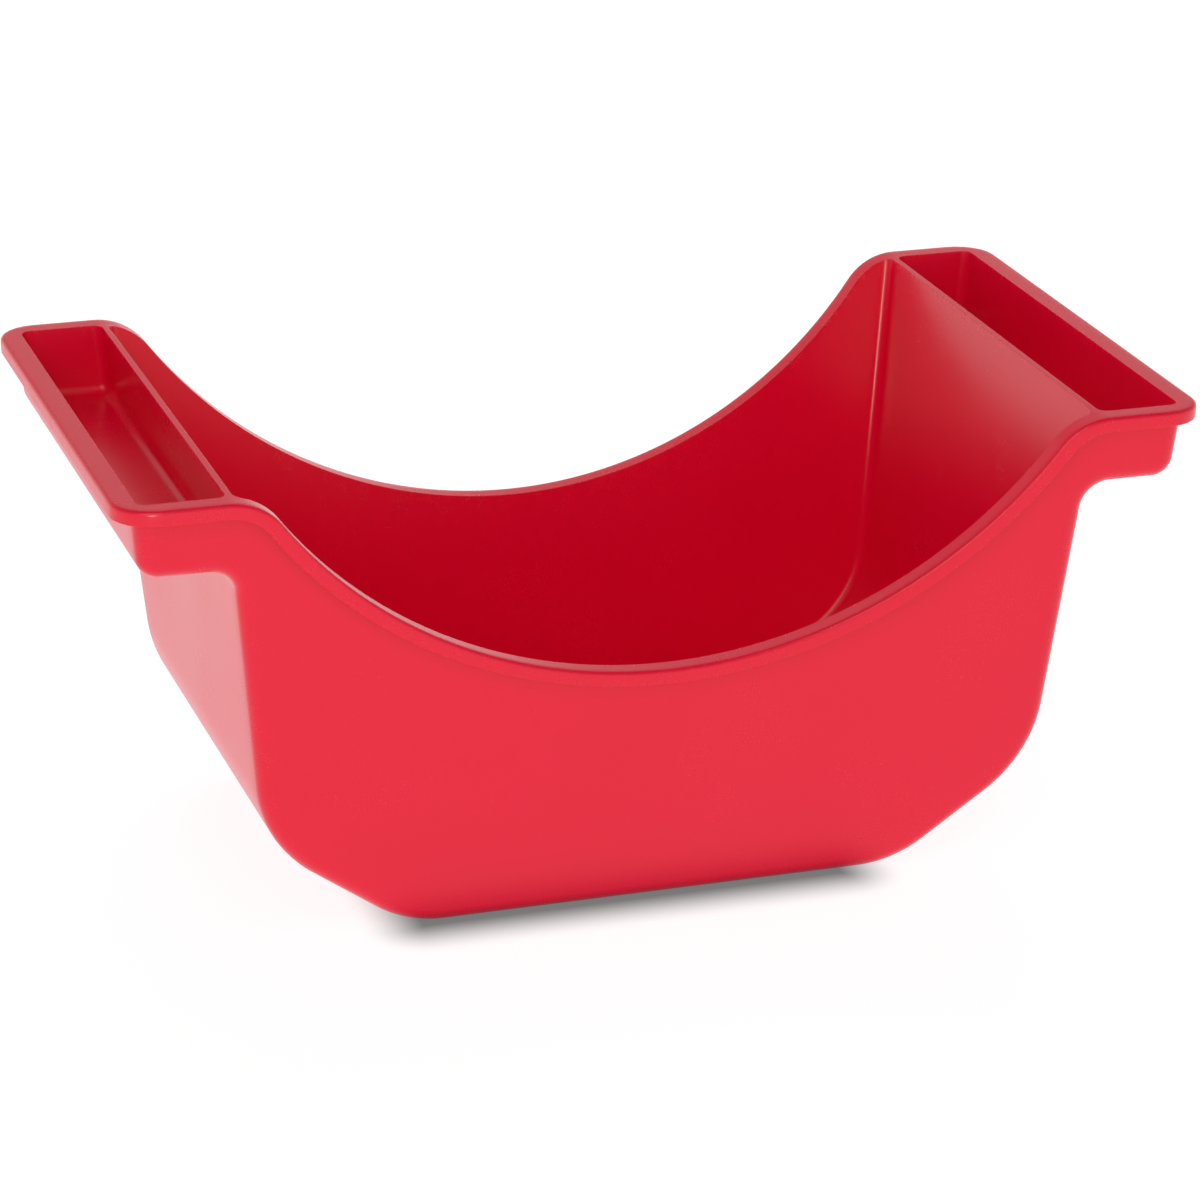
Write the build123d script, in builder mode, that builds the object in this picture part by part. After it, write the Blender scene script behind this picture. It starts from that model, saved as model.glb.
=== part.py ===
"""Book tub: one injection-moulded bin that hangs by a pocket at each end.

Frame: millimetres, +Z up, X along the tub, origin at the centre of the base's underside.
The tub is one plastic moulding. It is written here as named regions of that moulding, which
meet face to face on flat cuts and never overlap: two long walls with a scooped edge, a base,
two sloping ramps, two end walls with their dividers, two end pockets and a four-sided rim.
"""
import os
from math import atan2, cos, degrees, radians, sqrt, tan

from build123d import *

# Overall size, over the rim
LENGTH = 400.0
WIDTH = 216.0
HEIGHT = 175.5

# Wall and rim section
WALL = 2.4
FLANGE = 8.5            # from a wall's inner face to the rim's outer face
LIP_DROP = 5.5          # height of the rim's turned-down lip
LIP_WALL = 2.0
RIM_CORNER = 15.0       # plan radius of the rim's outer corners
RIM_ROUND = 1.6         # round on the rim's upper outer edge

# Draft angles, from the vertical
SIDE_DRAFT = 5.3
END_DRAFT = 5.85
POCKET_DRAFT = 5.7
RIM_DRAFT = 5.7

# End profile
DIVIDER_AT = 160.7      # outer face of a divider at rim level, from the centre
POCKET_DROP = 28.2      # rim to the underside of a pocket
RAMP_ANGLE = 35.9       # slope of the ramps, from the horizontal
RAMP_FOOT = 93.7        # where the ramp line meets the base line
POCKET_HEEL = 8.2       # round between a pocket's end and its underside
POCKET_ROOT = 10.0      # hollow round between a pocket's underside and the end wall
RAMP_SHOULDER = 49.8    # round between an end wall and its ramp
RAMP_TOE = 43.2         # round between a ramp and the base
POCKET_CREASE = 4.0     # inside round between a pocket's floor and the divider
EDGE_ROUND = 6.0        # outer round along the edges of the long walls

# Scoop in the long walls
SCOOP_RADIUS = 178.2
SCOOP_DEPTH = 81.2
SCOOP_SHOULDER = 24.0

# Cuts between regions
CORNER_LAND = 4.0       # how far a long wall's region reaches round its corners
DIVIDER_DROP = 21.0     # rim to the foot of a divider's region
POCKET_CUT = 169.0      # from the centre to a pocket's region
RAMP_TOP = 66.0         # height of the upper end of a ramp's region
RAMP_END = 79.0         # from the centre to the lower end of a ramp's region
RIM_CUT = 183.0         # from the centre to an end rim's region

ABOVE = 12.0            # how far cutting shapes reach past the tub
POCKET_BASE = HEIGHT - POCKET_DROP
INNER_HALF_LENGTH = LENGTH / 2 - FLANGE
INNER_HALF_WIDTH = WIDTH / 2 - FLANGE


def leaning(at_rim, draft, z):
    """Distance from the centre, at height z, of a face that stands at_rim at rim level."""
    return at_rim - (HEIGHT - z) * tan(radians(draft))


def cross_trapezoid(at_rim, draft, low, high):
    """Corners, in the YZ plane, of a block between two drafted long faces."""
    top, bottom = leaning(at_rim, draft, high), leaning(at_rim, draft, low)
    return [(-top, high), (top, high), (bottom, low), (-bottom, low)]


def mirrored(half):
    """A closed outline from its right-hand half, which starts high and ends low."""
    return half + [(-x, z) for x, z in reversed(half)]


def end_wall_meets_ramp(inset):
    """Corner of the end wall line and the ramp line, both moved inwards by inset."""
    wall_x = DIVIDER_AT - inset / cos(radians(END_DRAFT))
    foot_x = RAMP_FOOT - inset * tan(radians(RAMP_ANGLE) / 2)
    lean, run = tan(radians(END_DRAFT)), 1 / tan(radians(RAMP_ANGLE))
    drop = (foot_x - wall_x + (HEIGHT - inset) * run) / (run - lean)
    return wall_x - drop * lean, HEIGHT - drop


def scoop_centres():
    """Centre of the scoop's arc and of its right-hand shoulder round."""
    arc_z = HEIGHT + SCOOP_RADIUS - SCOOP_DEPTH
    shoulder_z = HEIGHT - SCOOP_SHOULDER
    reach = SCOOP_RADIUS + SCOOP_SHOULDER
    return arc_z, sqrt(reach**2 - (arc_z - shoulder_z) ** 2), shoulder_z


def scoop_line(drop, half_length):
    """Draws the rim line with its scoop, moved down its own normal by drop."""
    arc_z, shoulder_x, shoulder_z = scoop_centres()
    tilt = degrees(atan2(shoulder_x, arc_z - shoulder_z))
    level = HEIGHT - drop
    radius = SCOOP_SHOULDER - drop
    Line((-half_length, level), (-shoulder_x, level))
    CenterArc((-shoulder_x, shoulder_z), radius, 90, -tilt)
    CenterArc((0, arc_z), SCOOP_RADIUS + drop, 270 - tilt, 2 * tilt)
    CenterArc((shoulder_x, shoulder_z), radius, 90 + tilt, -tilt)
    Line((shoulder_x, level), (half_length, level))


def long_face_edges(part, skip_above):
    """Edges of the two drafted long faces, apart from those at the top."""
    faces = part.faces().sort_by(Axis.Y)
    edges = faces[0].edges() + faces[-1].edges()
    return edges.filter_by(lambda edge: edge.center().Z < skip_above)


# The tub's outer block, without its hollows
with BuildPart() as outer:
    with BuildSketch(Plane.XZ):
        with BuildLine():
            wall_foot = end_wall_meets_ramp(0)
            right = [
                (leaning(INNER_HALF_LENGTH + WALL, POCKET_DRAFT, POCKET_BASE), POCKET_BASE),
                (leaning(DIVIDER_AT, END_DRAFT, POCKET_BASE), POCKET_BASE),
                wall_foot,
                (RAMP_FOOT, 0),
            ]
            rounds = [POCKET_HEEL, POCKET_ROOT, RAMP_SHOULDER, RAMP_TOE]
            brim = INNER_HALF_LENGTH + WALL
            FilletPolyline(
                (brim, HEIGHT), *mirrored(right), (-brim, HEIGHT), radius=rounds + rounds[::-1]
            )
            Line((-brim, HEIGHT), (brim, HEIGHT))
        make_face()
    extrude(amount=WIDTH, both=True)
    with BuildSketch(Plane.YZ):
        Polygon(*cross_trapezoid(INNER_HALF_WIDTH + WALL, SIDE_DRAFT, 0, HEIGHT), align=None)
    extrude(amount=LENGTH, both=True, mode=Mode.INTERSECT)
    fillet(long_face_edges(outer.part, HEIGHT - 1), EDGE_ROUND)

# The main compartment's hollow
with BuildPart() as hollow:
    top = HEIGHT + ABOVE
    with BuildSketch(Plane.XZ):
        with BuildLine():
            wall_x = DIVIDER_AT - WALL / cos(radians(END_DRAFT))
            foot_x = RAMP_FOOT - WALL * tan(radians(RAMP_ANGLE) / 2)
            right = [end_wall_meets_ramp(WALL), (foot_x, WALL)]
            rounds = [RAMP_SHOULDER - WALL, RAMP_TOE - WALL]
            brim = leaning(wall_x, END_DRAFT, top)
            FilletPolyline((brim, top), *mirrored(right), (-brim, top), radius=rounds + rounds[::-1])
            Line((-brim, top), (brim, top))
        make_face()
    extrude(amount=WIDTH, both=True)
    with BuildSketch(Plane.YZ):
        Polygon(*cross_trapezoid(INNER_HALF_WIDTH, SIDE_DRAFT, 0, top), align=None)
    extrude(amount=LENGTH, both=True, mode=Mode.INTERSECT)
    fillet(long_face_edges(hollow.part, top - 1), EDGE_ROUND - WALL)

# The right-hand pocket's hollow
with BuildPart() as pocket_hollow:
    floor_z = POCKET_BASE + WALL
    with BuildSketch(Plane.XZ):
        with BuildLine():
            outer_top = (leaning(INNER_HALF_LENGTH, POCKET_DRAFT, top), top)
            inner_top = (leaning(DIVIDER_AT, END_DRAFT, top), top)
            FilletPolyline(
                outer_top,
                (leaning(INNER_HALF_LENGTH, POCKET_DRAFT, floor_z), floor_z),
                (leaning(DIVIDER_AT, END_DRAFT, floor_z), floor_z),
                inner_top,
                radius=[POCKET_HEEL - WALL, POCKET_CREASE],
            )
            Line(inner_top, outer_top)
        make_face()
    extrude(amount=WIDTH, both=True)
    with BuildSketch(Plane.YZ):
        Polygon(*cross_trapezoid(INNER_HALF_WIDTH, SIDE_DRAFT, 0, top), align=None)
    extrude(amount=LENGTH, both=True, mode=Mode.INTERSECT)
    fillet(long_face_edges(pocket_hollow.part, top - 1), EDGE_ROUND - WALL)

# What the scoop takes out of both long walls
with BuildPart() as scoop:
    with BuildSketch(Plane.XZ):
        with BuildLine():
            scoop_line(0, LENGTH)
            Polyline((LENGTH, HEIGHT), (LENGTH, top), (-LENGTH, top), (-LENGTH, HEIGHT))
        make_face()
    extrude(amount=WIDTH, both=True)
    with BuildSketch(Plane.XY):
        Rectangle(2 * LENGTH, 2 * (leaning(INNER_HALF_WIDTH, SIDE_DRAFT, 0) - CORNER_LAND))
    extrude(amount=top, mode=Mode.SUBTRACT)

# The moulding inside its rim
with BuildPart() as shell:
    add(outer.part)
    add(hollow.part, mode=Mode.SUBTRACT)
    add(pocket_hollow.part, mode=Mode.SUBTRACT)
    add(mirror(pocket_hollow.part, about=Plane.YZ), mode=Mode.SUBTRACT)
    add(scoop.part, mode=Mode.SUBTRACT)


def rim_band(upper, lower, half_length, half_width, corner, edge_round=0):
    """Solid under the rim line, between two depths, with drafted sides and round corners."""
    with BuildPart() as band:
        with BuildSketch(Plane.XZ):
            with BuildLine():
                scoop_line(upper, half_length)
                scoop_line(lower, half_length)
                Line((half_length, HEIGHT - upper), (half_length, HEIGHT - lower))
                Line((-half_length, HEIGHT - upper), (-half_length, HEIGHT - lower))
            make_face()
        extrude(amount=WIDTH, both=True)
        with BuildSketch(Plane.YZ):
            Polygon(*cross_trapezoid(half_width, RIM_DRAFT, 0, HEIGHT + ABOVE), align=None)
        extrude(amount=LENGTH, both=True, mode=Mode.INTERSECT)
        ends = band.part.faces().sort_by(Axis.X)
        corners = (ends[0].edges() + ends[-1].edges()).filter_by(
            lambda edge: abs(edge.center().Y) > half_width * 0.9
        )
        fillet(corners, corner)
        if edge_round:
            tops = band.part.faces().filter_by(lambda face: face.normal_at().Z > 0.2)
            shared = [edge for face in tops for edge in face.edges()]
            fillet([edge for edge in shared if shared.count(edge) == 1], edge_round)
    return band.part


# The rim: a flange all round the moulding, with a turned-down lip
with BuildPart() as rim:
    add(rim_band(0, LIP_DROP, LENGTH / 2, WIDTH / 2, RIM_CORNER, RIM_ROUND))
    add(outer.part, mode=Mode.SUBTRACT)
    add(
        rim_band(
            WALL,
            LIP_DROP + ABOVE,
            LENGTH / 2 - LIP_WALL,
            WIDTH / 2 - LIP_WALL,
            RIM_CORNER - LIP_WALL,
        ),
        mode=Mode.SUBTRACT,
    )

# Cutting shapes: the zone beyond a long wall's inner corners, and the same on both sides
with BuildPart() as front_zone:
    with BuildSketch(Plane.YZ):
        land = INNER_HALF_WIDTH - CORNER_LAND
        near_top, near_foot = -leaning(land, SIDE_DRAFT, top), -leaning(land, SIDE_DRAFT, -ABOVE)
        Polygon((near_top, top), (near_foot, -ABOVE), (-WIDTH, -ABOVE), (-WIDTH, top), align=None)
    extrude(amount=LENGTH, both=True)
back_zone = mirror(front_zone.part, about=Plane.XZ)

with BuildPart() as front_wall:
    add(shell.part)
    add(front_zone.part, mode=Mode.INTERSECT)

with BuildPart() as back_wall:
    add(mirror(front_wall.part, about=Plane.XZ))

with BuildPart() as middle:
    add(shell.part)
    add(front_zone.part, mode=Mode.SUBTRACT)
    add(back_zone, mode=Mode.SUBTRACT)


def cut_from(whole, x_range, z_range):
    """The part of a whole that lies between two values of X and two of Z, at any Y."""
    with BuildPart() as piece:
        add(whole)
        with BuildSketch(Plane.XZ):
            with Locations((sum(x_range) / 2, sum(z_range) / 2)):
                Rectangle(x_range[1] - x_range[0], z_range[1] - z_range[0])
        extrude(amount=WIDTH, both=True, mode=Mode.INTERSECT)
    return piece.part


def cut_in_plan(whole, x_range, y_range):
    """The part of a whole that lies between two values of X and two of Y, at any Z."""
    with BuildPart() as piece:
        add(whole)
        with BuildSketch(Plane.XY):
            with Locations((sum(x_range) / 2, sum(y_range) / 2)):
                Rectangle(x_range[1] - x_range[0], y_range[1] - y_range[0])
        extrude(amount=top, mode=Mode.INTERSECT)
    return piece.part


divider_foot = HEIGHT - DIVIDER_DROP
right_regions = {
    "pocket": cut_from(middle.part, (POCKET_CUT, LENGTH), (0, top)),
    "divider": cut_from(middle.part, (RAMP_END, POCKET_CUT), (divider_foot, top)),
    "end_wall": cut_from(middle.part, (RAMP_END, POCKET_CUT), (RAMP_TOP, divider_foot)),
    "ramp": cut_from(middle.part, (RAMP_END, POCKET_CUT), (-ABOVE, RAMP_TOP)),
    "rim": cut_in_plan(rim.part, (RIM_CUT, LENGTH), (-WIDTH, WIDTH)),
}
regions = {
    "front_wall": front_wall.part,
    "back_wall": back_wall.part,
    "base": cut_from(middle.part, (-RAMP_END, RAMP_END), (-ABOVE, top)),
    "front_rim": cut_in_plan(rim.part, (-RIM_CUT, RIM_CUT), (-WIDTH, 0)),
    "back_rim": cut_in_plan(rim.part, (-RIM_CUT, RIM_CUT), (0, WIDTH)),
}
for name, region in right_regions.items():
    regions[f"right_{name}"] = region
    regions[f"left_{name}"] = mirror(region, about=Plane.YZ)

os.makedirs("parts", exist_ok=True)
for name, region in regions.items():
    region.label = name
    export_step(region, f"parts/{name}.step")
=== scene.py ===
"""Book tub: one red injection-moulded bin with scooped long sides and a tray pocket at each end.

Metres, +Z up, X along the tub, origin at the centre of the base's underside. The moulding is one
closed skin: an outer face, three hollows, two divider tops and the band that makes the rim.
"""
import logging
from dataclasses import dataclass, field
from enum import Enum
from math import cos, pi, radians, sin, sqrt, tan
from typing import Any, ClassVar

import bmesh
import bpy
import numpy as np
from mathutils import Matrix, Vector


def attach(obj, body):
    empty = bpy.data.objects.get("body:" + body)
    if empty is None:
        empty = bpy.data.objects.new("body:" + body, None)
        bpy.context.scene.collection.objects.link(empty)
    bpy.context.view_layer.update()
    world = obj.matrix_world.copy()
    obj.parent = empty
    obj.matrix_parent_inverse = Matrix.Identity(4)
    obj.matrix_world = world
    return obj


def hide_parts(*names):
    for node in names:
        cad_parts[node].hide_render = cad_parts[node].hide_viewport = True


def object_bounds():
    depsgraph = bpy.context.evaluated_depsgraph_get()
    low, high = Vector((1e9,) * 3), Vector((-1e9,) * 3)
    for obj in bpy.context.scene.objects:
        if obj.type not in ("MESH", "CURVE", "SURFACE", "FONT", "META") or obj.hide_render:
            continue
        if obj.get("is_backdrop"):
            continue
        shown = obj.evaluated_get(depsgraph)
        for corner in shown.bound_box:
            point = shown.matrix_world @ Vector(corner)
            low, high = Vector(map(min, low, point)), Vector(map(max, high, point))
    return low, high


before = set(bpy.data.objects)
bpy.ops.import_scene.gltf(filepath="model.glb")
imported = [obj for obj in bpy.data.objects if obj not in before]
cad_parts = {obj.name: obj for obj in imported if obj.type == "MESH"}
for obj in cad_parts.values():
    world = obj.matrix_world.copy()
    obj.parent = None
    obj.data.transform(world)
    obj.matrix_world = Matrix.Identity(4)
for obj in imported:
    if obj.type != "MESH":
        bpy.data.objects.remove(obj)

MM = 0.001
BODY = "root"
RUB_ATTRIBUTE = "edge_rub"
STRAIGHT = 1e-9  # least turn, in radians, that a round is worked out for
NOISE_MEAN = 0.5  # what a noise comes to on average
BLACK = (0, 0, 0, 1)
WHITE = (1, 1, 1, 1)

Measure = float | np.ndarray
Colour = tuple[float, float, float, float]

log = logging.getLogger("book_tub")


# ----------------------------------------------------------------------------- shapes


@dataclass(frozen=True)
class Profile:
    """Points in the XZ plane with the outward normal at each.

    Attributes:
        points: Array of shape (n, 2), x and z.
        normals: Array of shape (n, 2), unit length.
    """

    points: np.ndarray
    normals: np.ndarray

    def reversed(self) -> "Profile":
        """Returns the same profile from its last point to its first."""
        return Profile(self.points[::-1], self.normals[::-1])

    def mirrored(self) -> "Profile":
        """Returns the profile with x turned round, still outward."""
        flip = np.array([-1.0, 1.0])
        return Profile(self.points * flip, self.normals * flip)


@dataclass(frozen=True)
class Grid:
    """A sheet of points, rows by columns, that becomes quads.

    Attributes:
        points: Array of shape (rows, columns, 3).
        closed: True if the last column joins the first.
    """

    points: np.ndarray
    closed: bool = False

    def quads(self) -> np.ndarray:
        """Joins neighbouring points into quads.

        Returns:
            The quads as point numbers, shape (n, 4).
        """
        rows, columns = self.points.shape[:2]
        numbers = np.arange(rows * columns).reshape(rows, columns)
        if self.closed:
            numbers = np.concatenate([numbers, numbers[:, :1]], axis=1)
        corners = [numbers[:-1, :-1], numbers[1:, :-1], numbers[1:, 1:], numbers[:-1, 1:]]
        return np.stack([corner.ravel() for corner in corners], axis=1)


def rounded_profile(
    corners: np.ndarray, radii: np.ndarray, count: int, turn_weight: float
) -> Profile:
    """Samples a polyline whose corners are rounded. The outward side is on the path's left.

    The path is a chain of pieces of constant curvature, straight ones between round ones. A
    piece that starts at p with heading a and turns by t over its length l reaches, at share f,
    p + l * ((sin(a + t f) - sin a) / t, (cos a - cos(a + t f)) / t). Samples are equally spaced
    in length plus turn_weight times the turn, so that round stretches get more of them.

    Args:
        corners: Points of the sharp polyline, shape (m, 2).
        radii: Radius at each inner corner, shape (m - 2,).
        count: Number of samples.
        turn_weight: Length that one radian of turn counts for.

    Returns:
        The sampled profile.
    """
    runs = np.diff(corners, axis=0)
    spans = np.linalg.norm(runs, axis=1)
    headings = np.unwrap(np.arctan2(runs[:, 1], runs[:, 0]))
    turns = np.diff(headings)
    cut = radii * np.tan(np.abs(turns) / 2)
    ahead, behind = np.append(cut, 0), np.insert(cut, 0, 0)
    units = runs / spans[:, None]

    pieces = 2 * len(spans) - 1
    start, heading = np.zeros((pieces, 2)), np.zeros(pieces)
    turn, length = np.zeros(pieces), np.zeros(pieces)
    start[0::2] = corners[:-1] + units * behind[:, None]
    start[1::2] = corners[1:-1] - units[:-1] * cut[:, None]
    heading[0::2], heading[1::2] = headings, headings[:-1]
    turn[1::2] = turns
    length[0::2], length[1::2] = spans - ahead - behind, radii * np.abs(turns)

    measure = np.append(0, np.cumsum(length + turn_weight * np.abs(turn)))
    at = np.linspace(0, measure[-1], count)
    piece = np.clip(np.searchsorted(measure, at, side="right") - 1, 0, pieces - 1)
    share = (at - measure[piece]) / (measure[piece + 1] - measure[piece])
    a, t, l = heading[piece], turn[piece], length[piece]
    swept = np.where(np.abs(t) < STRAIGHT, STRAIGHT, t)
    forward = (np.sin(a + swept * share) - np.sin(a)) / swept
    across = (np.cos(a) - np.cos(a + swept * share)) / swept
    points = start[piece] + l[:, None] * np.stack([forward, across], axis=1)
    facing = a + t * share
    normals = np.stack([-np.sin(facing), np.cos(facing)], axis=1)
    return Profile(points, normals)


def between(first: np.ndarray, last: np.ndarray, steps: int) -> np.ndarray:
    """Points on straight lines between two arrays of points.

    Args:
        first: Start points, shape (n, 3).
        last: End points, shape (n, 3).
        steps: Number of equal steps.

    Returns:
        Array of shape (n, steps + 1, 3), both ends included.
    """
    share = np.linspace(0, 1, steps + 1)[None, :, None]
    return first[:, None] * (1 - share) + last[:, None] * share


def smooth_step(value: np.ndarray) -> np.ndarray:
    """Returns 3 v squared - 2 v cubed of the value held between 0 and 1."""
    held = np.clip(value, 0, 1)
    return held * held * (3 - 2 * held)


# ----------------------------------------------------------------------------- the moulding


@dataclass(frozen=True)
class TubSizes:
    """Driving sizes of the moulding, in metres and degrees. The frame gives the overall ones."""

    half_length: float
    half_width: float
    height: float
    wall: float = 2.4 * MM
    flange: float = 8.5 * MM
    lip_drop: float = 5.5 * MM
    lip_wall: float = 2.0 * MM
    rim_corner: float = 15.0 * MM
    rim_round: float = 1.6 * MM
    side_draft: float = 5.3
    end_draft: float = 5.85
    pocket_draft: float = 5.7
    rim_draft: float = 5.7
    divider_at: float = 160.7 * MM
    pocket_drop: float = 28.2 * MM
    ramp_angle: float = 35.9
    ramp_foot: float = 93.7 * MM
    pocket_heel: float = 8.2 * MM
    pocket_root: float = 10.0 * MM
    ramp_shoulder: float = 49.8 * MM
    ramp_toe: float = 43.2 * MM
    pocket_crease: float = 4.0 * MM
    edge_round: float = 6.0 * MM
    scoop_radius: float = 178.2 * MM
    scoop_depth: float = 81.2 * MM
    scoop_shoulder: float = 24.0 * MM

    @classmethod
    def inside(cls, high: Vector) -> "TubSizes":
        """Fits the moulding into the frame's box.

        The rim's widest line lies a rim round under its top, where its lean has taken it in by
        the round times the tangent of the draft.

        Args:
            high: The box's highest corner.

        Returns:
            The sizes.
        """
        lean = cls.rim_round * tan(radians(cls.rim_draft))
        return cls(half_length=high.x, half_width=high.y + lean, height=high.z)

    @property
    def inner_half_length(self) -> float:
        """Half the length between the pockets' outer inside faces, at rim level."""
        return self.half_length - self.flange

    @property
    def inner_half_width(self) -> float:
        """Half the width between the long walls' inner faces, at rim level."""
        return self.half_width - self.flange

    @property
    def pocket_base(self) -> float:
        """Height of the pockets' undersides."""
        return self.height - self.pocket_drop

    def leaning(self, at_rim: float, draft: float, z: Measure) -> Measure:
        """Works out how far a leaning face is from the centre.

        Args:
            at_rim: Its distance at rim level.
            draft: Its lean from the vertical, in degrees.
            z: Height.

        Returns:
            Its distance at that height.
        """
        return at_rim - (self.height - z) * tan(radians(draft))


@dataclass(frozen=True)
class RimLine:
    """The line that the rim's top follows along a long side: level, round, scoop, round, level."""

    sizes: TubSizes
    fine_steps: int = 4000

    @property
    def arc_z(self) -> float:
        """Height of the scoop's centre."""
        return self.sizes.height + self.sizes.scoop_radius - self.sizes.scoop_depth

    @property
    def reach(self) -> float:
        """Distance between the centres of the scoop and a shoulder round."""
        return self.sizes.scoop_radius + self.sizes.scoop_shoulder

    @property
    def shoulder_x(self) -> float:
        """Distance from the middle to the centre of a shoulder round."""
        rise = self.arc_z - self.sizes.height + self.sizes.scoop_shoulder
        return sqrt(self.reach**2 - rise**2)

    @property
    def join_x(self) -> float:
        """Distance from the middle to where scoop and shoulder meet."""
        return self.shoulder_x * self.sizes.scoop_radius / self.reach

    def at(self, x: np.ndarray) -> tuple[np.ndarray, np.ndarray]:
        """Works out the line's height and its upward normal.

        Args:
            x: Places along the tub, shape (n,).

        Returns:
            Heights, shape (n,), and normals, shape (n, 2).
        """
        s = self.sizes
        far = np.abs(x)
        bowl = np.sqrt(np.maximum(s.scoop_radius**2 - far**2, 0))
        past = np.clip(far - self.shoulder_x, -s.scoop_shoulder, 0)
        crest = np.sqrt(s.scoop_shoulder**2 - past**2)
        in_scoop = far < self.join_x
        z = np.where(in_scoop, self.arc_z - bowl, s.height - s.scoop_shoulder + crest)
        lean = np.where(in_scoop, -far / s.scoop_radius, past / s.scoop_shoulder)
        up = np.where(in_scoop, bowl / s.scoop_radius, crest / s.scoop_shoulder)
        return z, np.stack([lean * np.sign(x), up], axis=1)

    def lowered(self, x: np.ndarray, drop: float = 0) -> np.ndarray:
        """Returns the line's points moved down their normals by drop, shape (n, 2)."""
        z, normals = self.at(x)
        return np.stack([x, z], axis=1) - drop * normals

    def stations(self, first: float, last: float, count: int, turn_weight: float) -> np.ndarray:
        """Places along the tub, closer together where the line turns.

        Args:
            first: Lowest x.
            last: Highest x.
            count: Number of places.
            turn_weight: Length that one radian of turn counts for.

        Returns:
            The places, shape (count,), both ends included.
        """
        fine = np.linspace(first, last, self.fine_steps + 1)
        z, normals = self.at(fine)
        length = np.hypot(np.diff(fine), np.diff(z))
        turn = np.abs(np.diff(np.arctan2(normals[:, 0], normals[:, 1])))
        measure = np.append(0, np.cumsum(length + turn_weight * turn))
        return np.interp(np.linspace(0, measure[-1], count), measure, fine)


@dataclass(frozen=True)
class Skin:
    """A drafted shape between two leaning long faces, with its long edges rounded by a ball.

    Each point P of the end profile, with its outward normal N, gives one row. The ball's centre
    is P - r N, moved sideways until the ball touches the leaning face. The row runs straight from
    the rim down the face to the ball, round the ball, straight across, and back up.

    Attributes:
        profile: The shape's profile in XZ.
        tops: Where each row starts, on the rim line, shape (n, 2).
        half_width: Half the width at rim level.
        radius: The ball's radius.
        sizes: The moulding's sizes.
        side_steps: Steps down a leaning face, the same in every skin, so that their edges meet.
        round_steps: Steps round the ball, the same in every skin.
        belt_steps: Steps across from one ball to the other, the same in every skin.
    """

    profile: Profile
    tops: np.ndarray
    half_width: float
    radius: float
    sizes: TubSizes
    side_steps: ClassVar[int] = 8
    round_steps: ClassVar[int] = 6
    belt_steps: ClassVar[int] = 24

    def grid(self) -> np.ndarray:
        """Works out the skin's points.

        Returns:
            The points, rows by columns by 3.
        """
        s = self.sizes
        draft = radians(s.side_draft)
        centre = self.profile.points - self.radius * self.profile.normals
        face_y = s.leaning(self.half_width, s.side_draft, centre[:, 1])
        ball_y = -(face_y - self.radius / cos(draft))
        ball = np.stack([centre[:, 0], ball_y, centre[:, 1]], axis=1)
        to_face = np.broadcast_to([0, -cos(draft), -sin(draft)], ball.shape)
        nx, nz = self.profile.normals.T
        to_belt = np.stack([nx, np.zeros_like(nx), nz], axis=1)

        angle = np.arccos(np.sum(to_face * to_belt, axis=1))[:, None, None]
        share = np.linspace(0, 1, self.round_steps + 1)[None, :, None]
        from_face = np.sin((1 - share) * angle) * to_face[:, None]
        onto_belt = np.sin(share * angle) * to_belt[:, None]
        rounds = ball[:, None] + self.radius * (from_face + onto_belt) / np.sin(angle)

        top_y = -s.leaning(self.half_width, s.side_draft, self.tops[:, 1])
        top = np.stack([self.tops[:, 0], top_y, self.tops[:, 1]], axis=1)
        face = between(top, rounds[:, 0], self.side_steps)
        far = rounds[:, -1] * [1, -1, 1]
        belt = between(rounds[:, -1], far, self.belt_steps)
        half = np.concatenate([face, rounds[:, 1:]], axis=1)
        mirrored = (half * [1, -1, 1])[:, ::-1]
        return np.concatenate([half, belt[:, 1:-1], mirrored], axis=1)


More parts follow.
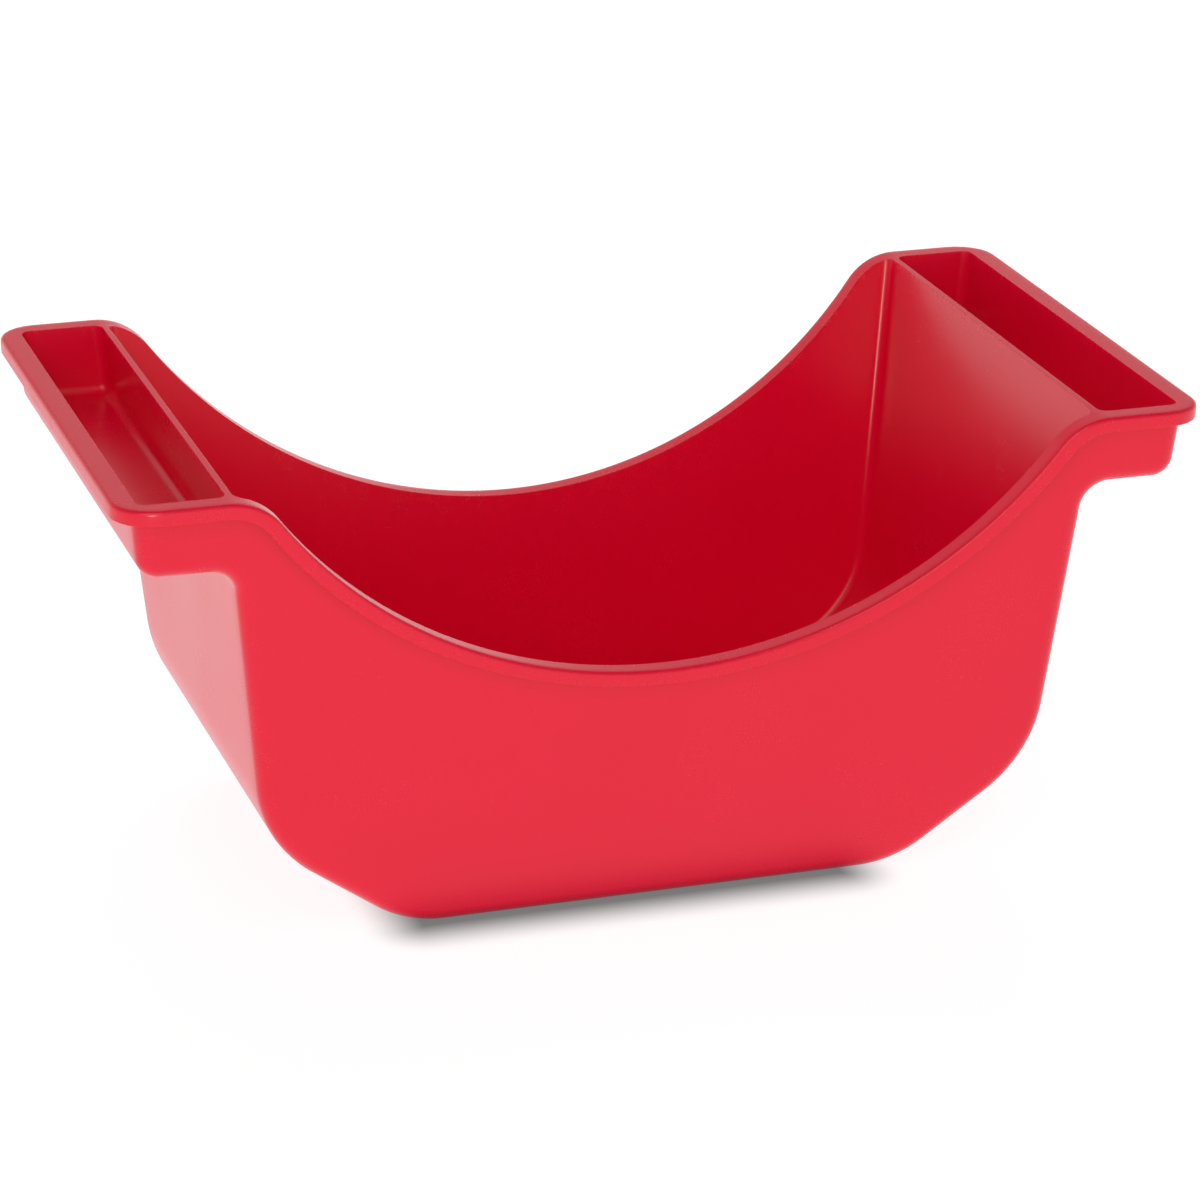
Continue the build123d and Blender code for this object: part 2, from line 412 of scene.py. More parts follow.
@dataclass
class BookTub:
    """The whole moulding as one closed skin.

    Attributes:
        sizes: The moulding's sizes.
        turn_weight: Length that one radian of turn counts for, in the hollows' samples.
        outer_turn_weight: The same in the outer face's samples.
        main_rows: Samples along the main hollow.
        pocket_rows: Samples along a pocket.
        divider_steps: Steps across a divider's top.
        flange_steps: Steps across the flange.
        round_steps: Steps round the rim's upper edge.
        edge_break: Width of the broken sharp edges.
        edge_break_steps: Steps round a broken edge.
        sharp: Angle in degrees from which an edge counts as sharp.
        level_from: Distance across from the middle up to which a divider's top is level.
        level_to: Distance across from the middle from which it follows the scoop.
        line: The line that the rim follows.
        outer_rows: Samples along the outer face, as many as the hollows and dividers have.
    """

    sizes: TubSizes
    turn_weight: float = 22 * MM
    outer_turn_weight: float = 40 * MM
    main_rows: int = 210
    pocket_rows: int = 44
    divider_steps: int = 5
    flange_steps: int = 3
    round_steps: int = 5
    edge_break: float = 0.45 * MM
    edge_break_steps: int = 3
    sharp: float = 40
    level_from: float = 90 * MM
    level_to: float = 96 * MM
    line: RimLine = field(init=False)
    outer_rows: int = field(init=False)

    def __post_init__(self) -> None:
        """Works out the rim line and how many rows the outer face needs to meet the hollows'."""
        self.line = RimLine(self.sizes)
        self.outer_rows = self.main_rows + 2 * (self.pocket_rows + self.divider_steps - 1)

    # -- profiles

    def wall_foot(self, inset: float) -> tuple[float, float]:
        """Corner of the end wall's line and the ramp's, both moved inwards by inset.

        Args:
            inset: How far the lines move into the material.

        Returns:
            The corner's x and z.
        """
        s = self.sizes
        wall_x = s.divider_at - inset / cos(radians(s.end_draft))
        foot_x = s.ramp_foot - inset * tan(radians(s.ramp_angle) / 2)
        lean, run = tan(radians(s.end_draft)), 1 / tan(radians(s.ramp_angle))
        drop = (foot_x - wall_x + (s.height - inset) * run) / (run - lean)
        return wall_x - drop * lean, s.height - drop

    def both_ends(self, right: list[tuple[float, float]]) -> np.ndarray:
        """Returns a right-hand half outline, top first, followed by its mirror image."""
        half = np.array(right)
        return np.concatenate([half, (half * [-1, 1])[::-1]])

    def outer_profile(self) -> Profile:
        """Draws the outer face's profile, from the right pocket's end to the left one's.

        Returns:
            The profile.
        """
        s = self.sizes
        brim = s.inner_half_length + s.wall
        top = s.height - s.wall
        corners = self.both_ends([
            (s.leaning(brim, s.pocket_draft, top), top),
            (s.leaning(brim, s.pocket_draft, s.pocket_base), s.pocket_base),
            (s.leaning(s.divider_at, s.end_draft, s.pocket_base), s.pocket_base),
            self.wall_foot(0),
            (s.ramp_foot, 0),
        ])
        rounds = [s.pocket_heel, s.pocket_root, s.ramp_shoulder, s.ramp_toe]
        radii = np.array(rounds + rounds[::-1])
        return rounded_profile(corners, radii, self.outer_rows, self.outer_turn_weight)

    def main_profile(self) -> Profile:
        """Draws the main hollow's profile, from the right divider's top to the left one's.

        Returns:
            The profile.
        """
        s = self.sizes
        wall_x = s.divider_at - s.wall / cos(radians(s.end_draft))
        foot_x = s.ramp_foot - s.wall * tan(radians(s.ramp_angle) / 2)
        corners = self.both_ends([(wall_x, s.height), self.wall_foot(s.wall), (foot_x, s.wall)])
        rounds = [s.ramp_shoulder - s.wall, s.ramp_toe - s.wall]
        radii = np.array(rounds + rounds[::-1])
        return rounded_profile(corners, radii, self.main_rows, self.turn_weight)

    def pocket_profile(self) -> Profile:
        """Draws the right pocket's profile, from its outer top edge to its inner one.

        Returns:
            The profile.
        """
        s = self.sizes
        floor = s.pocket_base + s.wall
        corners = np.array([
            (s.inner_half_length, s.height),
            (s.leaning(s.inner_half_length, s.pocket_draft, floor), floor),
            (s.leaning(s.divider_at, s.end_draft, floor), floor),
            (s.divider_at, s.height),
        ])
        radii = np.array([s.pocket_heel - s.wall, s.pocket_crease])
        return rounded_profile(corners, radii, self.pocket_rows, self.turn_weight)

    # -- skins

    def settle_top(self, points: np.ndarray) -> np.ndarray:
        """Puts points on the rim's top: the rim line near the long walls, level between them.

        Args:
            points: Points near the rim's top, last axis x, y, z.

        Returns:
            The same points at their new heights.
        """
        z, _ = self.line.at(points[..., 0])
        past = np.abs(points[..., 1]) - self.level_from
        share = smooth_step(past / (self.level_to - self.level_from))
        settled = points.copy()
        settled[..., 2] = self.sizes.height - (self.sizes.height - z) * share
        return settled

    def close_ends(self, grid: np.ndarray, level: float | None = None) -> np.ndarray:
        """Trims a skin's end rows to the rim's top, or to a level, and folds their side runs away.

        Args:
            grid: The skin's points, changed in place.
            level: Height of the trimmed rows, or None for the rim's top.

        Returns:
            The same points.
        """
        side = Skin.side_steps
        for row in (0, -1):
            if level is None:
                grid[row] = self.settle_top(grid[row])
            else:
                grid[row, :, 2] = level
            grid[row, :side] = grid[row, side]
            grid[row, -side:] = grid[row, -side - 1]
        return grid

    def hollow(self, profile: Profile, turn_weight: float) -> np.ndarray:
        """Builds a hollow's skin, whose rows start on the rim's inner edge.

        Args:
            profile: The hollow's profile.
            turn_weight: Length that one radian of the rim line's turn counts for.

        Returns:
            The skin's points.
        """
        s = self.sizes
        radius = s.edge_round - s.wall
        ends = (profile.points - radius * profile.normals)[[0, -1], 0]
        low, high = ends.min(), ends.max()
        x = self.line.stations(low, high, len(profile.points), turn_weight)
        if ends[0] > ends[1]:
            x = x[::-1]
        tops = self.line.lowered(x)
        return self.close_ends(Skin(profile, tops, s.inner_half_width, radius, s).grid())

    def outer_face(self, stations: np.ndarray) -> np.ndarray:
        """Builds the outer skin, whose rows start under the flange.

        Args:
            stations: Places of the rows' tops along the rim line.

        Returns:
            The skin's points.
        """
        s = self.sizes
        profile = self.outer_profile()
        last = (profile.points - s.edge_round * profile.normals)[0, 0]
        tops = self.line.lowered(self.spread(stations, last), s.wall)
        skin = Skin(profile, tops, s.inner_half_width + s.wall, s.edge_round, s)
        return self.close_ends(skin.grid(), s.height - s.wall)

    def spread(self, stations: np.ndarray, last: float) -> np.ndarray:
        """Stretches the level ends of the rim line so that the last station is at another x.

        Args:
            stations: Places along the tub, the highest and lowest equally far out.
            last: Where the highest is to be.

        Returns:
            The new places.
        """
        far, crest = np.abs(stations), self.line.shoulder_x
        past = np.maximum(far - crest, 0) * (last - crest) / (far.max() - crest)
        return np.sign(stations) * (np.minimum(far, crest) + past)

    def rim_loop(self, stations: np.ndarray, drop: float, inset: float) -> np.ndarray:
        """A loop round the rim's outer face, at a depth under the rim line and an inset.

        Args:
            stations: Places along the long sides, from right to left.
            drop: Depth under the rim line, along its normal.
            inset: How far inside the rim's outer face the loop runs.

        Returns:
            The loop's points, shape (n, 3).
        """
        s = self.sizes
        corner_x = s.half_length - s.rim_corner
        line = self.line.lowered(self.spread(stations, corner_x), drop)
        side_y = -(s.leaning(s.half_width, s.rim_draft, line[:, 1]) - inset)
        front = np.stack([line[:, 0], side_y, line[:, 1]], axis=1)
        corner_y = s.leaning(s.half_width, s.rim_draft, s.height - drop) - s.rim_corner
        theta = np.linspace(0, pi / 2, Skin.round_steps + 1)
        reach = s.rim_corner - inset
        corner = np.stack([
            -corner_x - reach * np.sin(theta),
            -corner_y - reach * np.cos(theta),
            np.full(len(theta), s.height - drop),
        ], axis=1)
        far = (corner * [1, -1, 1])[::-1]
        run = between(corner[-1:], far[:1], Skin.belt_steps)[0]
        end = np.concatenate([corner, run[1:-1], far])
        return self.loop(front, front * [1, -1, 1], end, end * [-1, 1, 1])

    @staticmethod
    def loop(
        front: np.ndarray, back: np.ndarray, left: np.ndarray, right: np.ndarray
    ) -> np.ndarray:
        """Joins four runs into a loop. The ends' first and last points are the sides' own.

        Args:
            front: Points from right to left.
            back: Points from right to left.
            left: Points from front to back.
            right: Points from front to back.

        Returns:
            The loop's points, shape (n, 3).
        """
        return np.concatenate([front, left[1:-1], back[::-1], right[1:-1][::-1]])

    def sheets(self) -> list[Grid]:
        """Makes every sheet of the moulding's skin. Neighbours share their edge points.

        Returns:
            The hollows, the outer face, the dividers' tops and the rim's band.
        """
        s = self.sizes
        right_profile = self.pocket_profile()
        left_profile = right_profile.mirrored().reversed()
        main = self.hollow(self.main_profile(), self.turn_weight)
        right, left = self.hollow(right_profile, 0), self.hollow(left_profile, 0)
        inside = slice(Skin.side_steps, -Skin.side_steps)
        divider_right, divider_left = (
            self.settle_top(between(one[-1, inside], other[0, inside], self.divider_steps))
            for one, other in ((right, main), (main, left))
        )

        def side(column: int) -> np.ndarray:
            """Joins the rim's inner edge along one long wall, from right to left.

            Args:
                column: The skins' column on that wall, 0 or -1.

            Returns:
                The edge's points, shape (n, 3).
            """
            return np.concatenate([
                right[:, column], divider_right[column, 1:-1], main[:, column],
                divider_left[column, 1:-1], left[:, column],
            ])

        inner = self.loop(side(0), side(-1), left[-1, inside], right[0, inside])
        stations = side(0)[:, 0]
        outer = self.outer_face(stations)
        under = self.loop(outer[:, 0], outer[:, -1], outer[-1, inside], outer[0, inside])

        quarter = np.linspace(0, pi / 2, self.round_steps + 1)
        section = [(s.rim_round * (1 - cos(a)), s.rim_round * (1 - sin(a))) for a in quarter]
        section += [(s.lip_drop, 0), (s.lip_drop, s.lip_wall), (s.wall, s.lip_wall)]
        loops = [self.rim_loop(stations, drop, inset) for drop, inset in section]
        flange = between(inner, loops[0], self.flange_steps)[:, :-1].swapaxes(0, 1)
        band = np.concatenate([flange, np.array(loops), under[None]])
        return [
            Grid(main), Grid(right), Grid(left), Grid(outer),
            Grid(divider_right), Grid(divider_left), Grid(band, closed=True),
        ]

    def build(self) -> bpy.types.Object:
        """Builds the moulding as one closed mesh.

        Returns:
            The object, at the origin.
        """
        mesh = bpy.data.meshes.new("tub")
        sheets = self.sheets()
        starts = np.cumsum([0] + [sheet.points.size // 3 for sheet in sheets])
        points = np.concatenate([sheet.points.reshape(-1, 3) for sheet in sheets])
        quads = np.concatenate([sheet.quads() + start for sheet, start in zip(sheets, starts)])
        mesh.from_pydata(points, [], quads)
        weld(mesh)
        mark_edges(mesh)
        tub = put_in("tub", mesh)
        bevel = tub.modifiers.new("edge_break", "BEVEL")
        bevel.width, bevel.segments = self.edge_break, self.edge_break_steps
        bevel.limit_method, bevel.angle_limit = "ANGLE", radians(self.sharp)
        bevel.harden_normals = True
        return tub


def put_in(name: str, data: bpy.types.ID) -> bpy.types.Object:
    """Makes an object of some data and puts it into the scene.

    Args:
        name: The object's name.
        data: A mesh, a light or a camera.

    Returns:
        The object, at the origin.
    """
    made = bpy.data.objects.new(name, data)
    bpy.context.scene.collection.objects.link(made)
    return made


def weld(mesh: bpy.types.Mesh, reach: float = 0.01 * MM) -> None:
    """Merges points that coincide, turns every face outwards and shades the mesh smooth.

    Args:
        mesh: The mesh, changed in place.
        reach: How close two points must be to merge.
    """
    work = bmesh.new()
    work.from_mesh(mesh)
    bmesh.ops.remove_doubles(work, verts=work.verts, dist=reach)
    bmesh.ops.dissolve_degenerate(work, edges=work.edges, dist=reach)
    bmesh.ops.recalc_face_normals(work, faces=work.faces)
    open_edges = sum(not edge.is_manifold for edge in work.edges)
    log.info("%s: %d faces, %d open edges, %.1f cm3", mesh.name, len(work.faces), open_edges,
             work.calc_volume() * 1e6)
    work.to_mesh(mesh)
    work.free()
    mesh.shade_smooth()


def mark_edges(mesh: bpy.types.Mesh, full: float = 30, spread: int = 2) -> None:
    """Stores how far each point stands out, as an attribute that wear follows.

    An edge stands out by the angle between its two faces' normals where the faces lean away from
    each other, and 0 where they lean together. A point takes the largest angle of its edges, as a
    share of the full angle, and spreads it to its neighbours by averaging.

    Args:
        mesh: The mesh, changed in place.
        full: Angle in degrees that counts as 1.
        spread: How many times the values are averaged.
    """
    work = bmesh.new()
    work.from_mesh(mesh)
    angles = np.array([edge.calc_face_angle_signed(0.0) for edge in work.edges])
    work.free()
    ends = np.zeros(len(mesh.edges) * 2, int)
    mesh.edges.foreach_get("vertices", ends)
    first, second = ends.reshape(-1, 2).T
    value = np.zeros(len(mesh.vertices))
    for end in (first, second):
        np.maximum.at(value, end, np.clip(angles / radians(full), 0, 1))
    count = np.bincount(ends, minlength=len(value))
    for _ in range(spread):
        total = np.bincount(first, value[second], len(value))
        total += np.bincount(second, value[first], len(value))
        value = (value + total / count) / 2
    attribute = mesh.attributes.new(RUB_ATTRIBUTE, "FLOAT", "POINT")
    attribute.data.foreach_set("value", value.astype(np.float32))


# ----------------------------------------------------------------------------- finishes


@dataclass(frozen=True)
class Socket:
    """An output socket of a shader, with the usual sums on numbers as Math nodes."""

    shader: "Shader"
    out: bpy.types.NodeSocket

    def math(self, operation: str, *others: "Socket | float") -> "Socket":
        """Returns the result of a Math node on this number and others."""
        return self.shader.math(operation, self, *others)

    def __add__(self, other: "Socket | float") -> "Socket":
        """Returns self + other."""
        return self.math("ADD", other)

    def __sub__(self, other: "Socket | float") -> "Socket":
        """Returns self - other."""
        return self.math("SUBTRACT", other)

    def __mul__(self, other: "Socket | float") -> "Socket":
        """Returns self * other."""
        return self.math("MULTIPLY", other)

    def __pow__(self, other: "Socket | float") -> "Socket":
        """Returns self to the power of other."""
        return self.math("POWER", other)

    def __rsub__(self, other: float) -> "Socket":
        """Returns other - self."""
        return self.shader.math("SUBTRACT", other, self)

    __radd__ = __add__
    __rmul__ = __mul__

    def ramp(self, low: float, high: float) -> "Socket":
        """Turns this number into a share, smoothly.

        Args:
            low: Where the share is still 0.
            high: Where it is 1.

        Returns:
            The share.
        """
        settings = {"interpolation_type": "SMOOTHSTEP"}
        sockets = {"Value": self, "From Min": low, "From Max": high}
        return self.shader.node("ShaderNodeMapRange", settings, sockets, "Result")


@dataclass(frozen=True)
class Noise:
    """Settings of a cloudy noise between 0 and 1.

    Attributes:
        scale: Clouds per unit of the place that it is read at.
        detail: How many finer layers are added.
        roughness: How strong each finer layer is against the one before.
    """

    scale: float
    detail: float = 2.0
    roughness: float = 0.5


class Shader:
    """The nodes that give a material or a world its look."""

    def __init__(self, owner: bpy.types.Material | bpy.types.World) -> None:
        """Empties the owner's nodes.

        Args:
            owner: The material or world that gets the look.
        """
        owner.use_nodes = True
        self.owner = owner
        self.tree = owner.node_tree
        self.tree.nodes.clear()

    def node(
        self, kind: str, settings: dict[str, Any], sockets: dict[Any, Any], output: Any = 0
    ) -> Socket:
        """Adds a node.

        Args:
            kind: The node's type.
            settings: The node's own settings, set first.
            sockets: What goes into its sockets, by name or number: a Socket is linked.
            output: Name or number of the output that is wanted.

        Returns:
            The output socket.
        """
        made = self.tree.nodes.new(kind)
        for name, value in settings.items():
            setattr(made, name, value)
        for name, value in sockets.items():
            if isinstance(value, Socket):
                self.tree.links.new(value.out, made.inputs[name])
            else:
                made.inputs[name].default_value = value
        return Socket(self, made.outputs[output])

    def math(self, operation: str, *values: Socket | float) -> Socket:
        """Returns the result of a Math node on some numbers."""
        return self.node("ShaderNodeMath", {"operation": operation}, dict(enumerate(values)))

    def place(self, stretch: tuple[float, float, float] = (1, 1, 1), turn: float = 0.0) -> Socket:
        """The place on the piece, in metres, stretched and turned about Z.

        Args:
            stretch: Scale along each axis.
            turn: Angle in degrees.

        Returns:
            The place as a vector.
        """
        place = self.node("ShaderNodeTexCoord", {}, {}, "Object")
        sockets = {"Vector": place, "Rotation": (0, 0, radians(turn)), "Scale": stretch}
        return self.node("ShaderNodeMapping", {}, sockets)

    def noise(self, place: Socket, noise: Noise) -> Socket:
        """Reads a noise.

        Args:
            place: Where it is read.
            noise: Its settings.

        Returns:
            The noise at that place.
        """
        sockets = {
            "Vector": place, "Scale": noise.scale, "Detail": noise.detail,
            "Roughness": noise.roughness,
        }
        return self.node("ShaderNodeTexNoise", {}, sockets, "Fac")

    def bump(self, depth: float, sockets: dict[Any, Any]) -> Socket:
        """Returns the normal of a surface with heights up to a depth, in metres."""
        return self.node("ShaderNodeBump", {}, {"Distance": depth, **sockets})

    def mix(self, share: Socket | float, first: Any, second: Any) -> Socket:
        """Returns a colour between two colours, the second where share is 1."""
        sockets = {0: share, 6: first, 7: second}
        return self.node("ShaderNodeMix", {"data_type": "RGBA"}, sockets, 2)

    def finish(
        self, kind: str, sockets: dict[Any, Any], output: str = "ShaderNodeOutputMaterial"
    ) -> Any:
        """Adds the surface or background and the output node.

        Args:
            kind: Type of the surface or background node.
            sockets: What goes into its sockets.
            output: Type of the output node.

        Returns:
            The material or world.
        """
        surface = self.node(kind, {}, sockets)
        end = self.tree.nodes.new(output)
        self.tree.links.new(surface.out, end.inputs["Surface"])
        return self.owner


@dataclass(frozen=True)
class Mark:
    """How strongly a mark of use shows.

    Attributes:
        fade: Share of the rubbed colour.
        matt: Roughness that it adds.
    """

    fade: float
    matt: float


@dataclass(frozen=True)
class MouldedPlastic:
    """Self-coloured satin polypropylene, as it comes out of the mould and after a little use.

    Attributes:
        colour: The plastic's colour where the flow clouds are high.
        deep: Its colour where they are low.
        rubbed: The colour that wear moves it towards.
        shine: Tint of its highlights.
        refraction: Its refractive index.
        roughness: Its roughness without marks.
        clouds: Flow clouds, in the colour and the roughness.
        cloud_limits: Where the clouds start to colour the plastic, and where they fully do.
        cloud_share: The clouds' share of the colour's change. The speckle has the rest.
        cloud_matt: The clouds' range in the roughness.
        speckle: Fine pigment specks, in the colour and the roughness.
        speckle_matt: The speckle's range in the roughness.
        waves: Shrink waves of the skin.
        wave_depth: Depth of the waves.
        grain: Fine grain of the skin.
        grain_depth: Depth of the grain.
        wear: How edges look where they are rubbed.
        patches: Noise that leaves some stretches of edge unrubbed.
        patch_limits: Where the rubbing starts in that noise, and where it is full.
        scuff: How rub lines look.
        scuff_cut: Share of the grain that a rub line takes away.
        streaks: Noise whose middle level, once stretched, draws the rub lines.
        rubs: Turn in degrees and stretch of the noise for each direction of rub lines.
        line_reach: How far from the middle level a line reaches.
        breaks: Noise that breaks the lines up.
        break_limits: Where the lines start in that noise, and where they are full.
    """

    colour: Colour = (0.83, 0.0008, 0.037, 1)
    deep: Colour = (0.81, 0.0007, 0.035, 1)
    rubbed: Colour = (0.84, 0.035, 0.070, 1)
    shine: Colour = (1.0, 0.96, 0.76, 1)
    refraction: float = 1.45
    roughness: float = 0.25
    clouds: Noise = Noise(14, 4, 0.55)
    cloud_limits: tuple[float, float] = (0.3, 0.7)
    cloud_share: float = 0.7
    cloud_matt: float = 0.10
    speckle: Noise = Noise(1400)
    speckle_matt: float = 0.06
    waves: Noise = Noise(24, 1.5, 0.4)
    wave_depth: float = 0.04 * MM
    grain: Noise = Noise(2200, 3, 0.6)
    grain_depth: float = 0.004 * MM
    wear: Mark = Mark(fade=0.05, matt=0.06)
    patches: Noise = Noise(120, 5, 0.65)
    patch_limits: tuple[float, float] = (0.42, 0.66)
    scuff: Mark = Mark(fade=0.02, matt=0.04)
    scuff_cut: float = 0.1
    streaks: Noise = Noise(3.2, 1)
    rubs: tuple[tuple[float, tuple[float, float, float]], ...] = (
        (8, (9, 160, 160)), (64, (150, 12, 150)), (-38, (120, 120, 10)),
    )
    line_reach: float = 0.006
    breaks: Noise = Noise(26, 3)
    break_limits: tuple[float, float] = (0.56, 0.72)

    def material(self) -> bpy.types.Material:
        """Makes the material: clouds and speckle, grain over shrink waves, scuffs, rubbed edges.

        Returns:
            The material.
        """
        shader = Shader(bpy.data.materials.new("red_plastic"))
        place = shader.place()
        clouds, speckle = shader.noise(place, self.clouds), shader.noise(place, self.speckle)
        rub = shader.node("ShaderNodeAttribute", {"attribute_name": RUB_ATTRIBUTE}, {}, "Fac")
        worn = rub * shader.noise(place, self.patches).ramp(*self.patch_limits)
        scuffs = self.scuffs(shader)

        cloudy = clouds.ramp(*self.cloud_limits) * self.cloud_share
        body = shader.mix(cloudy + speckle * (1 - self.cloud_share), self.deep, self.colour)
        colour = shader.mix(worn * self.wear.fade + scuffs * self.scuff.fade, body, self.rubbed)
        roughness = self.roughness + (clouds - NOISE_MEAN) * self.cloud_matt
        roughness = roughness + (speckle - NOISE_MEAN) * self.speckle_matt
        roughness = roughness + worn * self.wear.matt + scuffs * self.scuff.matt

        wave, grain = shader.noise(place, self.waves), shader.noise(place, self.grain)
        waved = shader.bump(self.wave_depth, {"Height": wave})
        height = grain - scuffs * self.scuff_cut
        sockets = {
            "Base Color": colour,
            "Roughness": roughness,
            "Normal": shader.bump(self.grain_depth, {"Height": height, "Normal": waved}),
            "IOR": self.refraction,
            "Specular Tint": self.shine,
        }
        return shader.finish("ShaderNodeBsdfPrincipled", sockets)

    def scuffs(self, shader: Shader) -> Socket:
        """Draws thin, broken rub lines, where a stretched noise crosses its middle level.

        Args:
            shader: The material's shader.

        Returns:
            1 on a line and 0 beside it.
        """
        total = None
        for turn, stretch in self.rubs:
            streak = shader.noise(shader.place(stretch, turn), self.streaks)
            line = 1 - (streak - NOISE_MEAN).math("ABSOLUTE").ramp(0.0, self.line_reach)
            total = line if total is None else total.math("MAXIMUM", line)
        return total * shader.noise(shader.place(), self.breaks).ramp(*self.break_limits)


@dataclass(frozen=True)
class PaleFloor:
    """A plain white light sheet with a soft painted shadow round the patch under the tub's base.

    Attributes:
        colour: The sheet's colour where light falls on it, outside the painted shadow.
        glow: How brightly the sheet shines by itself.
        roughness: The sheet's roughness.
        sheen: How strongly it mirrors.
        fibre: Its paper grain.
        fibre_share: How much the grain darkens it at most.
        centre_x: Middle of the painted shadow's patch along X, a little left of the tub's.
        half_x: Half the patch's length.
        half_y: Half the patch's width.
        dark_from: Distance from the patch where the painted shadow would be deepest, inside it.
        dark_to: Distance from the patch where the painted shadow ends.
        darkest: Share of the light that is left where the painted shadow is deepest.
    """

    colour: Colour = (0.2, 0.2, 0.2, 1)
    glow: float = 0.90
    roughness: float = 0.85
    sheen: float = 0.1
    fibre: Noise = Noise(300, 3)
    fibre_share: float = 0.03
    centre_x: float = -8 * MM
    half_x: float = 80 * MM
    half_y: float = 86 * MM
    dark_from: float = -6 * MM
    dark_to: float = 24 * MM
    darkest: float = 0.1

    def outside(self, shader: Shader, axis: str, centre: float, half: float) -> Socket:
        """Works out how far a place lies outside the patch along one axis.

        Args:
            shader: The sheet's shader.
            axis: X or Y.
            centre: The patch's middle on that axis.
            half: Half the patch's size on that axis.

        Returns:
            The distance, 0 over the patch.
        """
        along = shader.node("ShaderNodeSeparateXYZ", {}, {"Vector": shader.place()}, axis)
        return ((along - centre).math("ABSOLUTE") - half).math("MAXIMUM", 0.0)

    def material(self) -> bpy.types.Material:
        """Makes the material: matt white with a trace of paper grain and a painted soft shadow.

        Returns:
            The material.
        """
        shader = Shader(bpy.data.materials.new("studio_sheet"))
        fibre = shader.noise(shader.place(), self.fibre)
        # Painted shadow: the sheet's colour and glow darken towards the patch under the tub's
        # base.
        x = self.outside(shader, "X", self.centre_x, self.half_x)
        y = self.outside(shader, "Y", 0.0, self.half_y)
        away = (x**2 + y**2) ** 0.5
        left_by_painted_shadow = self.darkest + (1 - self.darkest) * away.ramp(self.dark_from, self.dark_to)
        paper = 1 - self.fibre_share + fibre * self.fibre_share
        # Both the colour and the glow carry the painted shadow.
        sockets = {
            "Base Color": shader.mix(left_by_painted_shadow * paper, BLACK, self.colour),
            "Roughness": self.roughness,
            "Specular IOR Level": self.sheen,
            "Emission Color": shader.mix(left_by_painted_shadow, BLACK, WHITE),
            "Emission Strength": self.glow,
        }
        return shader.finish("ShaderNodeBsdfPrincipled", sockets)


# ----------------------------------------------------------------------------- studio


def towards(azimuth: float, elevation: float) -> Vector:
    """Works out the direction from the tub to a place in the studio.

    Args:
        azimuth: Degrees round the tub, 0 in front of it and 90 to its right.
        elevation: Degrees above the floor.

    Returns:
        The direction, of unit length.
    """
    a, e = radians(azimuth), radians(elevation)
    return Vector((sin(a) * cos(e), -cos(a) * cos(e), sin(e)))


@dataclass(frozen=True)
class Viewpoint:
    """The camera's place, given by what it looks at and from where.

    Attributes:
        azimuth: Degrees round the tub, 0 in front of it.
        elevation: Degrees above the floor.
        roll: Degrees that the camera leans to its left.
        distance: Distance from what it looks at.
        focal_length: Focal length in millimetres.
        sensor: Width of the sensor in millimetres.
        nearest: Distance from which it sees.
        farthest: Distance up to which it sees.
        aim: What it looks at.
    """

    azimuth: float = -18.328
    elevation: float = 21.095
    roll: float = 0.671
    distance: float = 1.6769
    focal_length: float = 136.94
    sensor: float = 36.0
    nearest: float = 0.05
    farthest: float = 50.0
    aim: tuple[float, float, float] = (-0.0047, -0.0307, 0.0957)

    def build(self) -> bpy.types.Object:
        """Makes the camera and sets it as the scene's.

        Returns:
            The camera.
        """
        back = towards(self.azimuth, self.elevation)
        data = bpy.data.cameras.new("camera")
        data.sensor_width, data.lens = self.sensor, self.focal_length
        data.clip_start, data.clip_end = self.nearest, self.farthest
        camera = put_in("camera", data)
        camera.location = Vector(self.aim) + back * self.distance
        lean = Matrix.Rotation(radians(self.roll), 3, "Z")
        camera.rotation_euler = (back.to_track_quat("Z", "Y").to_matrix() @ lean).to_euler()
        bpy.context.scene.camera = camera
        return camera


class Reach(Enum):
    """What a light adds to: everything, only the shine, or only the matt part of a surface."""

    ALL = "all"
    SHINE = "shine"
    FILL = "fill"


@dataclass(frozen=True)
class Softbox:
    """A large square light that faces the tub.

    Attributes:
        name: The light's name.
        azimuth: Where it stands round the tub, in degrees, 0 in front.
        elevation: Its height above the floor, in degrees, seen from the tub.
        distance: Its distance from the tub.
        side: Its side length.
        radiance: Brightness of its face, where 1 is the white of the floor.
        reach: What the light adds to.
    """

    name: str
    azimuth: float
    elevation: float
    distance: float
    side: float
    radiance: float
    reach: Reach = Reach.ALL

    def build(self) -> None:
        """Makes the light. Its power is radiance times pi times its area."""
        out = towards(self.azimuth, self.elevation)
        data = bpy.data.lights.new(self.name, "AREA")
        data.size = self.side
        data.energy = self.radiance * pi * self.side**2
        lamp = put_in(self.name, data)
        lamp.location = out * self.distance
        lamp.rotation_euler = out.to_track_quat("Z", "Y").to_euler()
        lamp.visible_diffuse = self.reach is not Reach.SHINE
        lamp.visible_glossy = self.reach is not Reach.FILL
        lamp.visible_camera = False


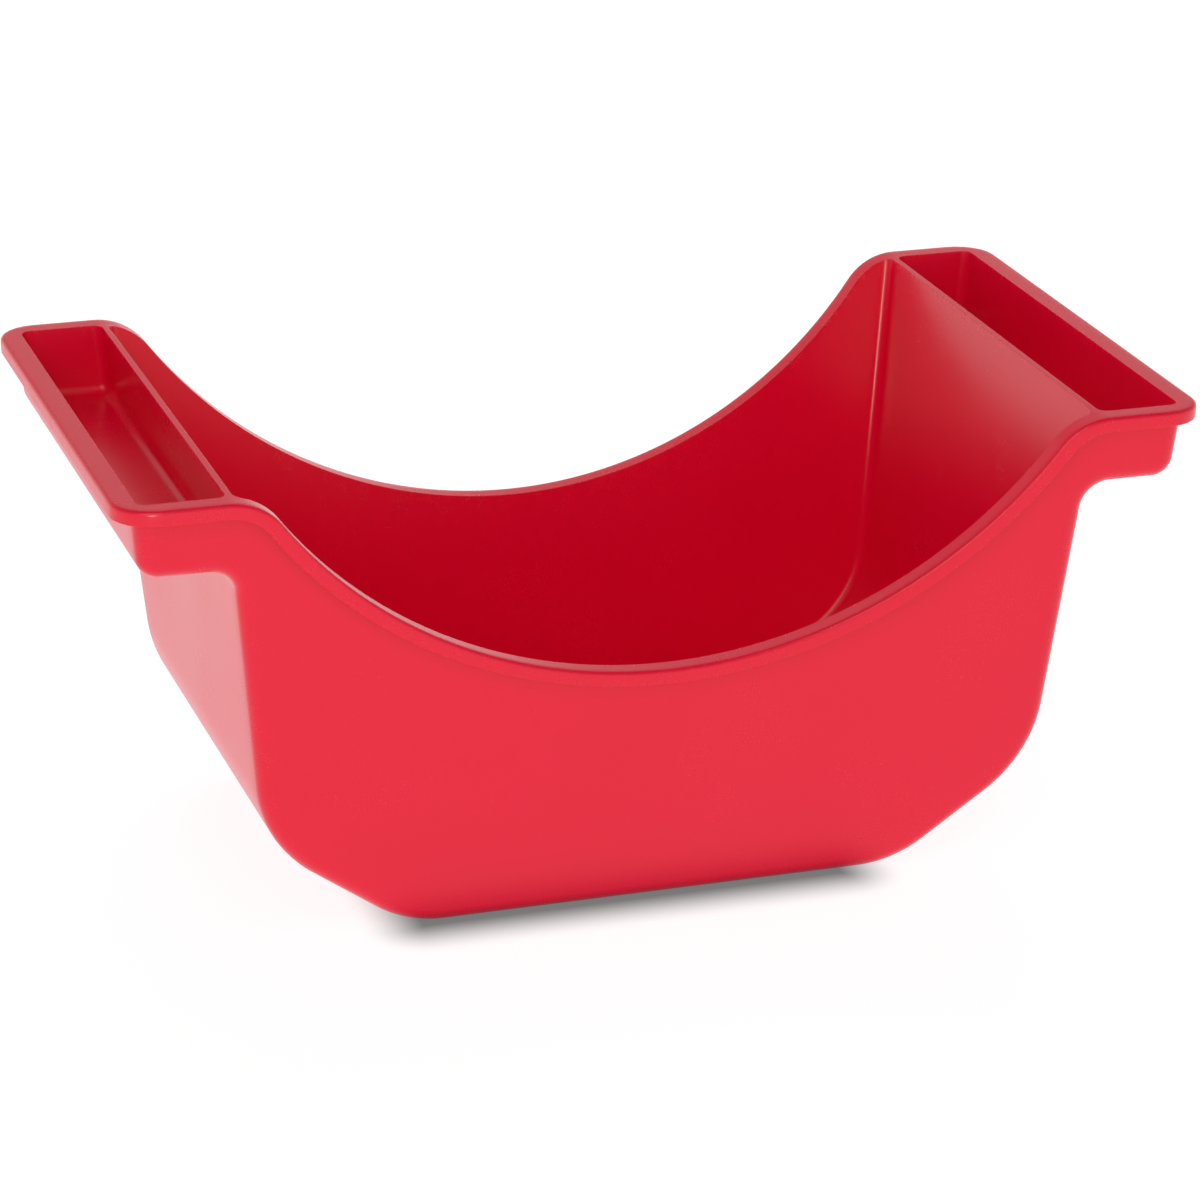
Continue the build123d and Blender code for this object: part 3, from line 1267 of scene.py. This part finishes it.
@dataclass(frozen=True)
class Studio:
    """A pale floor, a white surrounding that is brightest low down, and large soft lights.

    Attributes:
        floor_side: Side length of the floor.
        tint: The surrounding's colour.
        horizon: The surrounding's brightness at the horizon.
        zenith: Its brightness overhead.
        backdrop: Brightness of the backdrop, which stands all round behind the floor.
        backdrop_top: Height up to which the backdrop is full, where 1 is overhead.
        backdrop_end: Height at which it has faded away.
        lights: The lights.
    """

    floor_side: float = 12.0
    tint: Colour = (1, 0.99, 0.97, 1)
    horizon: float = 0.68
    zenith: float = 0.16
    backdrop: float = 1.05
    backdrop_top: float = 0.10
    backdrop_end: float = 0.24
    lights: tuple[Softbox, ...] = (
        Softbox("key", azimuth=-26, elevation=38, distance=2.4, side=1.6, radiance=1.80),
        Softbox("overhead", azimuth=-20, elevation=64, distance=2.2, side=1.2, radiance=0.25),
        Softbox("behind", azimuth=165, elevation=35, distance=2.2, side=1.4, radiance=3.0,
                reach=Reach.FILL),
        Softbox("glint", azimuth=-23, elevation=7, distance=0.95, side=0.2, radiance=14.0,
                reach=Reach.SHINE),
    )

    def surrounding(self) -> bpy.types.World:
        """Makes the world: dimmer towards the top, with a white backdrop low down.

        Returns:
            The world.
        """
        shader = Shader(bpy.data.worlds.new("studio"))
        direction = shader.node("ShaderNodeTexCoord", {}, {}, "Generated")
        height = shader.node("ShaderNodeSeparateXYZ", {}, {"Vector": direction}, "Z")
        rise = height.math("MAXIMUM", 0.0)
        sky = self.horizon + (self.zenith - self.horizon) * rise
        backdrop = self.backdrop * (1 - rise.ramp(self.backdrop_top, self.backdrop_end))
        sockets = {"Color": self.tint, "Strength": sky.math("MAXIMUM", backdrop)}
        return shader.finish("ShaderNodeBackground", sockets, "ShaderNodeOutputWorld")

    def build(self) -> None:
        """Makes the floor, the world and the lights."""
        bpy.context.scene.world = self.surrounding()
        bpy.context.scene.view_settings.view_transform = "Standard"

        half = self.floor_side / 2
        corners = [(-half, -half, 0), (half, -half, 0), (half, half, 0), (-half, half, 0)]
        mesh = bpy.data.meshes.new("floor")
        mesh.from_pydata(corners, [], [range(4)])
        mesh.materials.append(PaleFloor().material())
        floor = put_in("floor", mesh)
        floor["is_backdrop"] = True
        for light in self.lights:
            light.build()


def main() -> None:
    """Builds the tub and its studio."""
    logging.basicConfig(level=logging.INFO, format="%(name)s: %(message)s")
    low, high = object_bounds()
    tub = BookTub(TubSizes.inside(high)).build()
    tub.data.materials.append(MouldedPlastic().material())
    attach(tub, BODY)
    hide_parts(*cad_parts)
    Studio().build()
    Viewpoint().build()
    low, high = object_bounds()


if __name__ == "__main__":
    main()
